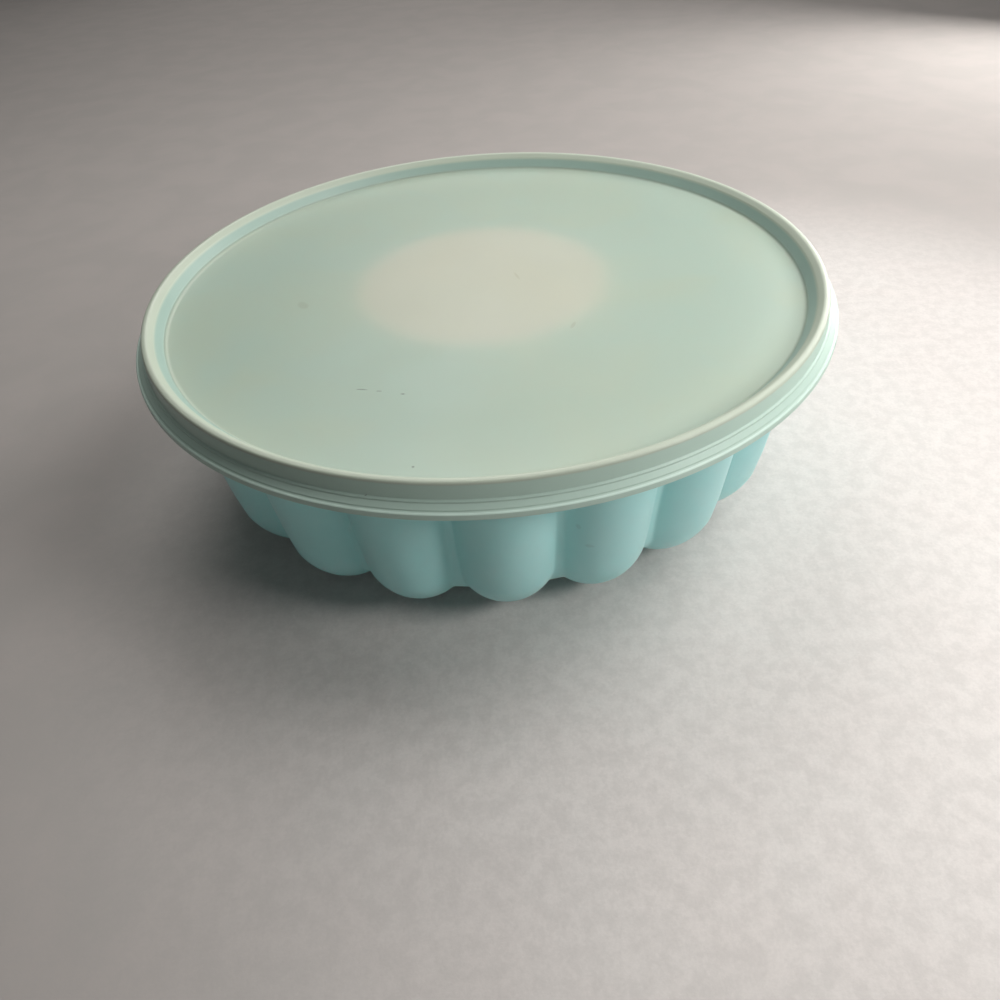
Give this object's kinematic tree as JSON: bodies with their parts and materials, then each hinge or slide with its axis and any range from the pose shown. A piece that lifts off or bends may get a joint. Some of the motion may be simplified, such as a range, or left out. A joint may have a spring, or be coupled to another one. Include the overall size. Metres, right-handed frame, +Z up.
{
  "type": "jelly mould",
  "caption": "Round fluted ring mould for jelly with an open centre tube, a press-on lid with a raised ridge, and a small round seal on the tube.",
  "frame": {"origin": "on the mould's axis, at the level of the flats on the flutes that it stands on", "axes": "+Z up along the mould's axis, out of its open side; a flute faces -Y"},
  "size_m": [0.2504, 0.2504, 0.0773],
  "materials": {
    "mould": "semi-matt moulded, pale aqua",
    "lid": "matt, slightly translucent pale mint",
    "centre_seal": "matt off-white"
  },
  "bodies": {
    "mould": {"mould": "mould"},
    "lid": {"lid": "lid"},
    "centre_seal": {"centre_seal": "centre_seal"}
  },
  "joints": [
    {"name": "lid_lift", "type": "slide", "parent": "mould", "child": "lid", "axis": [0, 0, 1], "range_m": [0, 0.12]},
    {"name": "centre_seal_lift", "type": "slide", "parent": "mould", "child": "centre_seal", "axis": [0, 0, 1], "range_m": [0, 0.06]}
  ],
  "couplings": [
    {"joint": "centre_seal_lift", "follows": "lid_lift", "ratio": 0.5}
  ]
}
